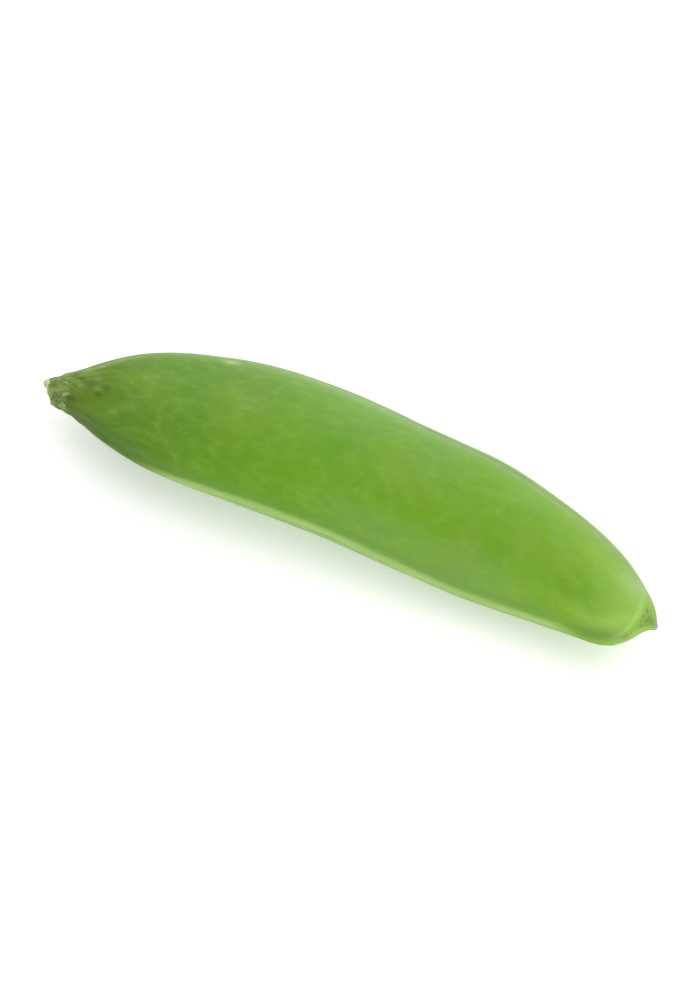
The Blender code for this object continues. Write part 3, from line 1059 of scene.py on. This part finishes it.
    # scar ring and dry tip
    scar = g.mask("scar")
    ragged = g.noise(g.place(mm, (2.3, 2.3, 2.3)), 1.0, 4.0, 0.65, 0.4)
    colour = g.mix(g.math("MULTIPLY", scar, g.span(ragged, 0.38, 0.62,
                                                   0.05, 0.55)),
                   colour, (0.360, 0.430, 0.170))
    colour = g.mix(g.math("MULTIPLY", scar, g.span(ragged, 0.56, 0.68,
                                                   0.0, 0.60)),
                   colour, (0.085, 0.095, 0.022))
    nub = g.mask("nub")
    colour = g.mix(g.math("MULTIPLY", nub, 0.70), colour,
                   (0.330, 0.350, 0.290))

    # thin wax bloom, patchy; heavier on the far half and the tip, partly real
    # bloom and partly painted sheen
    wax = g.noise(g.place(mm, (0.11, 0.16, 0.16), (9.0, 2.0, 6.0)),
                  1.0, 3.0, 0.6, 0.7)
    wax = g.span(wax, 0.38, 0.68)
    bloom_and_sheen = g.math("ADD", g.math("MULTIPLY", g.mask("far_half"),
                                g.span(along, 5.0, 22.0)),
                  g.math("MULTIPLY", blossom, 0.8), True)
    colour = g.mix(g.math("MULTIPLY", g.math("ADD", 0.012,
                                             g.math("MULTIPLY", bloom_and_sheen, 0.060)),
                          g.math("ADD", 0.35, g.math("MULTIPLY", wax, 0.65))),
                   colour, (0.520, 0.580, 0.480))
    # painted sheen: greyer along the arched side towards its seam, yellower
    # towards the tip
    crest = g.math("MULTIPLY", g.span(across, -0.55, -0.94),
                   g.span(along, 12.0, 46.0, 0.015, 0.070))
    colour = g.mix(crest, colour, g.mix(g.span(along, 44.0, 58.0),
                                        (0.560, 0.590, 0.540),
                                        (0.640, 0.640, 0.380)))
    colour = g.mix(g.math("MULTIPLY", g.mask("tip_bloom"), 0.26), colour,
                   (0.480, 0.560, 0.420))
    # painted highlight: the small glint high on the arched side
    colour = g.mix(g.math("MULTIPLY", g.mask("painted_glint"), 0.66), colour,
                   (0.430, 0.650, 0.190))

    g.put(g.shader.inputs["Base Color"], colour)

    rough = g.span(wax, 0.0, 1.0, 0.40, 0.50, False)
    rough = g.math("ADD", rough, g.span(fine, 0.30, 0.75, -0.03, 0.04, False))
    rough = g.math("ADD", rough, g.math("MULTIPLY", scar, 0.22))
    rough = g.math("ADD", rough, g.math("MULTIPLY", nub, 0.15), True)
    g.put(g.shader.inputs["Roughness"], rough)

    grain = g.noise(mm, 4.2, 2.0, 0.55)
    small = g.noise(g.place(mm, (1.1, 1.5, 1.5)), 1.0, 3.0, 0.5)
    normal = g.bump(grain, 0.000012, 0.60)
    normal = g.bump(small, 0.000055, 0.60, normal)
    normal = g.bump(strands, 0.000055, 0.50, normal)
    normal = g.bump(thread, 0.000012, 0.50, normal)
    g.put(g.shader.inputs["Normal"], normal)

    s = g.shader.inputs
    s["Metallic"].default_value = 0.0
    s["IOR"].default_value = 1.45
    s["Specular IOR Level"].default_value = 0.27
    s["Subsurface Weight"].default_value = 0.22
    s["Subsurface Radius"].default_value = (0.55, 1.0, 0.18)
    s["Subsurface Scale"].default_value = 0.0014
    s["Coat Weight"].default_value = 0.03
    s["Coat Roughness"].default_value = 0.34
    s["Coat IOR"].default_value = 1.40
    s["Sheen Weight"].default_value = 0.015
    s["Sheen Roughness"].default_value = 0.45
    s["Sheen Tint"].default_value = (0.80, 0.95, 0.70, 1.0)
    return g.material


def dry_material(name, pale, green, brown):
    g = Graph(name)
    coords = g.node("ShaderNodeTexCoord").outputs["Object"]
    mm = g.place(coords, (1000.0, 1000.0, 1000.0))
    along = g.mask("along")
    fibre = g.noise(g.place(mm, (0.9, 5.0, 5.0)), 1.0, 3.0, 0.6, 0.3)
    spots = g.noise(g.place(mm, (1.9, 2.3, 2.3), (3.0, 1.0, 0.0)),
                    1.0, 3.0, 0.6, 0.5)
    colour = g.mix(g.span(fibre, 0.35, 0.65), green, pale)
    edge = g.math("MULTIPLY", g.span(along, 0.35, 1.0),
                  g.span(spots, 0.42, 0.62))
    colour = g.mix(edge, colour, brown)
    g.put(g.shader.inputs["Base Color"], colour)
    g.put(g.shader.inputs["Roughness"], g.span(fibre, 0.3, 0.7, 0.52, 0.72))
    g.put(g.shader.inputs["Normal"], g.bump(fibre, 0.00004, 0.6))
    s = g.shader.inputs
    s["Subsurface Weight"].default_value = 0.25
    s["Subsurface Radius"].default_value = (0.8, 1.0, 0.4)
    s["Subsurface Scale"].default_value = 0.0008
    return g.material


def floor_material():
    g = Graph("studio_white")
    coords = g.node("ShaderNodeTexCoord").outputs["Object"]
    cloud = g.noise(g.place(coords, (3.0, 3.0, 3.0)), 1.0, 2.0, 0.5)
    colour = g.mix(g.span(cloud, 0.3, 0.7), (0.935, 0.935, 0.935),
                   (0.950, 0.950, 0.950))
    g.put(g.shader.inputs["Base Color"], colour)
    g.shader.inputs["Roughness"].default_value = 0.9
    g.shader.inputs["Specular IOR Level"].default_value = 0.2
    g.shader.inputs["Emission Color"].default_value = (1.0, 1.0, 1.0, 1.0)
    g.shader.inputs["Emission Strength"].default_value = 0.26
    return g.material


# ---------------------------------------------------------------------------
# building
# ---------------------------------------------------------------------------

pod = build_pod()
pod.data.materials.append(skin_material())
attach(pod, "root")
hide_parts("pod")

calyx = build_calyx()
calyx.data.materials.append(dry_material(
    "dry_calyx", (0.300, 0.390, 0.120), (0.150, 0.240, 0.038),
    (0.085, 0.080, 0.022)))
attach(calyx, "root")

fibres = build_fibres()
fibres.data.materials.append(dry_material(
    "dry_fibre", (0.640, 0.720, 0.470), (0.460, 0.580, 0.290),
    (0.300, 0.300, 0.140)))
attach(fibres, "root")

# ---------------------------------------------------------------------------
# stage, light and camera
# ---------------------------------------------------------------------------

bpy.ops.mesh.primitive_plane_add(size=6.0, location=(0.0, 0.0, 0.0))
floor = bpy.context.object
floor.name = "floor"
floor.data.materials.append(floor_material())

scene = bpy.context.scene
scene.view_settings.view_transform = "Standard"
scene.view_settings.look = "None"

world = bpy.data.worlds.new("studio")
scene.world = world
world.use_nodes = True
world.node_tree.nodes["Background"].inputs["Color"].default_value = (
    1.0, 1.0, 1.0, 1.0)
world.node_tree.nodes["Background"].inputs["Strength"].default_value = 0.71


def softbox(name, place, aim, size, size_y, watts, colour=(1.0, 1.0, 1.0)):
    lamp = bpy.data.lights.new(name, "AREA")
    lamp.shape = "RECTANGLE"
    lamp.size = size
    lamp.size_y = size_y
    lamp.energy = watts
    lamp.color = colour
    made = bpy.data.objects.new(name, lamp)
    scene.collection.objects.link(made)
    made.location = place
    direction = Vector(aim) - Vector(place)
    made.rotation_euler = direction.to_track_quat("-Z", "Y").to_euler()
    return made


softbox("key_overhead", (0.25, 0.20, 0.90), (0.0, 0.0, 0.0), 0.90, 0.70, 2.0)
softbox("back_panel", (0.22, 1.02, 0.58), (0.0, 0.0, 0.0), 1.50, 0.90, 6.0)
softbox("front_fill", (0.80, -0.85, 0.36), (0.0, 0.0, 0.0), 1.00, 0.50, 4.2)

AZIMUTH, ELEVATION = math.radians(25.0), math.radians(60.0)
back = Vector((math.sin(AZIMUTH) * math.cos(ELEVATION),
               -math.cos(AZIMUTH) * math.cos(ELEVATION),
               math.sin(ELEVATION)))
right = Vector((math.cos(AZIMUTH), math.sin(AZIMUTH), 0.0))
up = back.cross(right)
DISTANCE = 1.065
FRAME_HEIGHT = 0.1186
target = Vector((0.0, 0.0, 0.0060)) - right * 0.00148 - up * 0.00267
camera_data = bpy.data.cameras.new("camera")
camera_data.sensor_fit = "AUTO"
camera_data.sensor_width = 36.0
camera_data.lens = 36.0 * DISTANCE / FRAME_HEIGHT
camera_data.clip_start = 0.01
camera_data.clip_end = 20.0
camera = bpy.data.objects.new("camera", camera_data)
scene.collection.objects.link(camera)
place = target + back * DISTANCE
camera.matrix_world = Matrix((
    (right.x, up.x, back.x, place.x),
    (right.y, up.y, back.y, place.y),
    (right.z, up.z, back.z, place.z),
    (0.0, 0.0, 0.0, 1.0)))
scene.camera = camera
